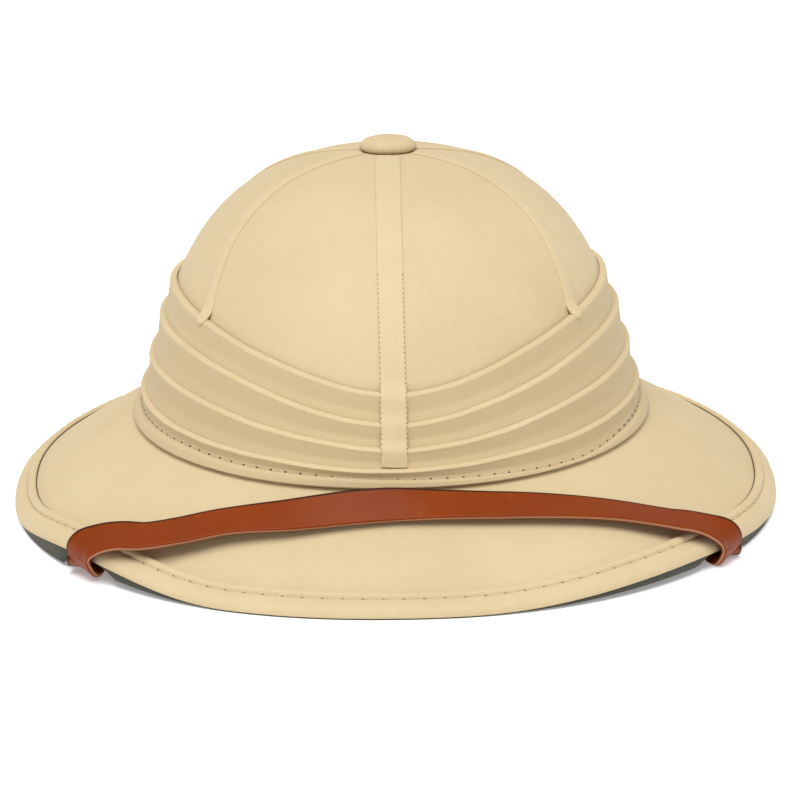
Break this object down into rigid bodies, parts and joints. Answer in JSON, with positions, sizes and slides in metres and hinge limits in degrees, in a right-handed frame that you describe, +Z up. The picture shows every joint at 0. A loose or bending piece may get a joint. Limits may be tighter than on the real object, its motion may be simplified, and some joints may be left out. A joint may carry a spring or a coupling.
{
  "type": "pith helmet",
  "caption": "Cloth-covered sun helmet with a domed crown, sloping brim, pleated band, taped seams, a top button and a leather chin strap worn over the front of the brim.",
  "frame": {"origin": "on the floor, in the middle of the helmet's length and width", "axes": "the helmet's front points along -Y, +X is the wearer's left and +Z is up"},
  "size_m": [0.2998, 0.3582, 0.1403],
  "materials": {
    "cloth": "matt plain-woven khaki cotton",
    "tape": "matt stitched cotton tape",
    "facing": "matt dark green cotton",
    "leather": "satin brown strap leather",
    "brass": "plain"
  },
  "bodies": {
    "root": {"helmet_shell": "cloth", "pugaree_pleat_top": "cloth", "pugaree_pleat_upper": "cloth", "pugaree_pleat_lower": "cloth", "pugaree_base_band": "cloth", "seam_tape_front": "tape", "seam_tape_front_left": "tape", "seam_tape_back_left": "tape", "seam_tape_back": "tape", "seam_tape_back_right": "tape", "seam_tape_front_right": "tape", "top_button": "cloth", "brim_binding": "cloth", "underbrim_facing": "facing", "chin_strap": "leather", "chin_strap_rivet_left": "brass", "chin_strap_rivet_right": "brass"}
  },
  "joints": []
}
